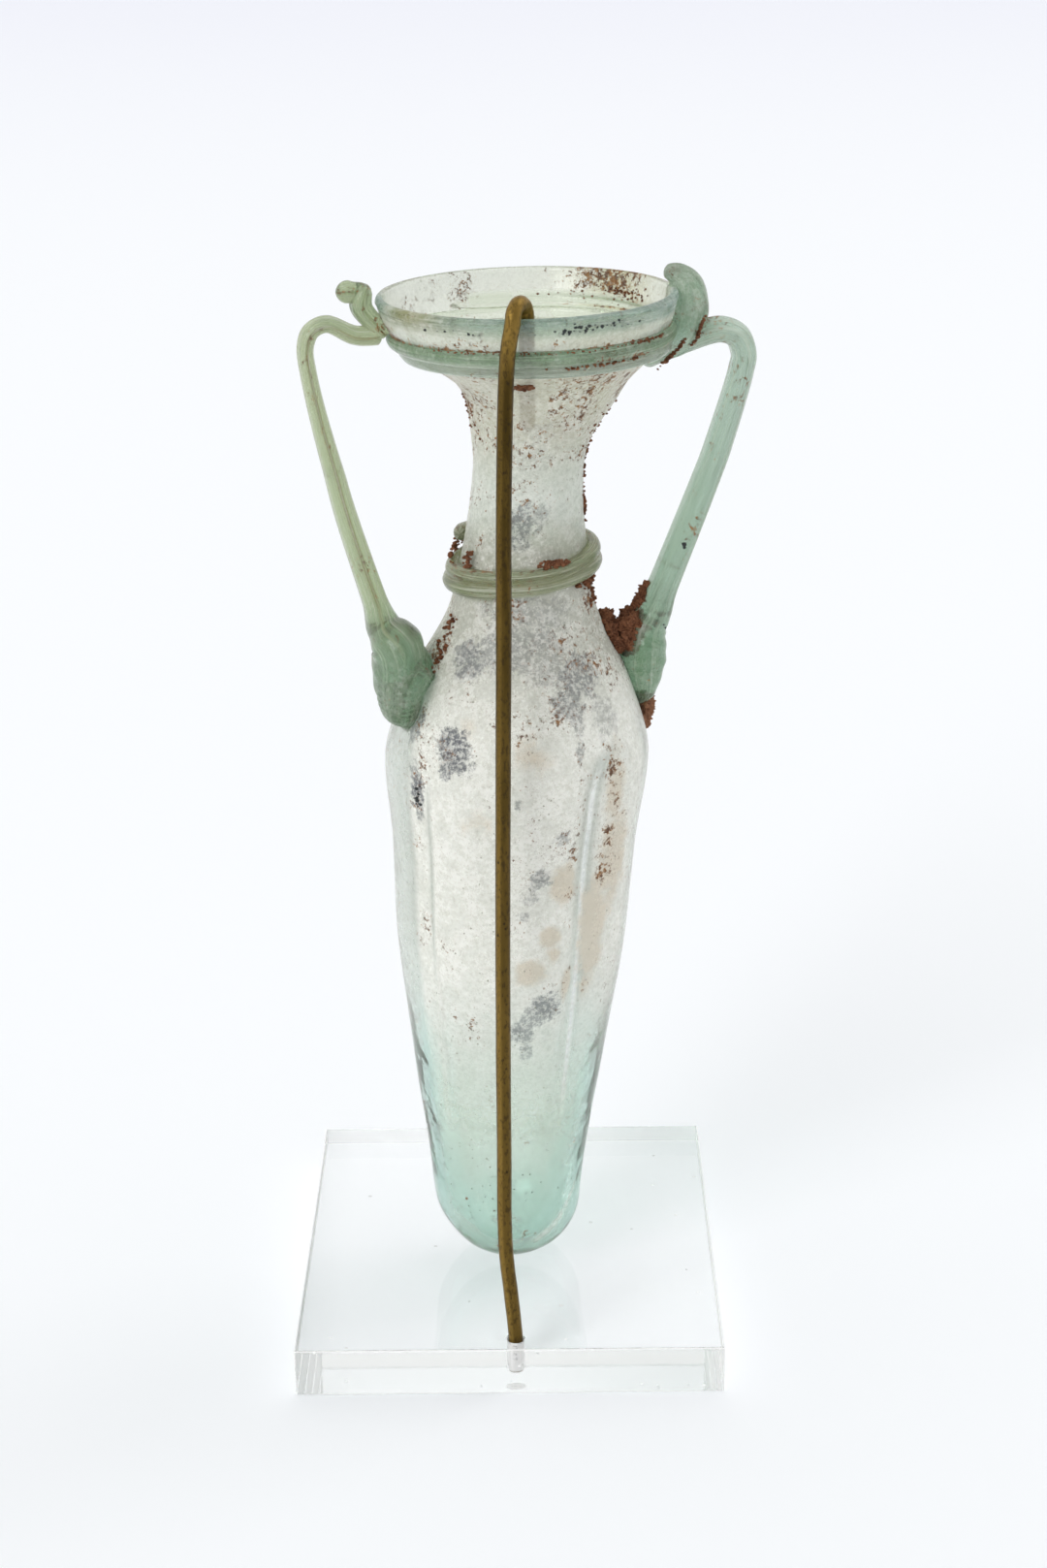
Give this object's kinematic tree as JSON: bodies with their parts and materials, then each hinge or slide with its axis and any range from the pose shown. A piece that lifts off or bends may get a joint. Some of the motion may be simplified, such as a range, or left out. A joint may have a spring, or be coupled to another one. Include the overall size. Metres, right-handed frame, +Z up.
{
  "type": "glass amphoriskos",
  "caption": "Small slender ancient glass amphora with long handles, threads round neck and lip, and soil from burial, held upright by a brass rod on a clear block.",
  "frame": {"origin": "centre of the block's underside, where the whole object stands", "axes": "+Z up along the vessel, -Y towards the front with the rod, +X to the right seen from the front"},
  "size_m": [0.0914, 0.094, 0.2146],
  "materials": {
    "aqua_glass": "gloss",
    "aged_brass": "satin",
    "clear_acrylic": "gloss",
    "caked_soil": "matte"
  },
  "bodies": {
    "root": {"glass_vessel": "aqua_glass", "brass_rod": "aged_brass", "acrylic_block": "clear_acrylic", "soil_in_crook": "caked_soil", "soil_under_pad": "caked_soil"}
  },
  "joints": []
}
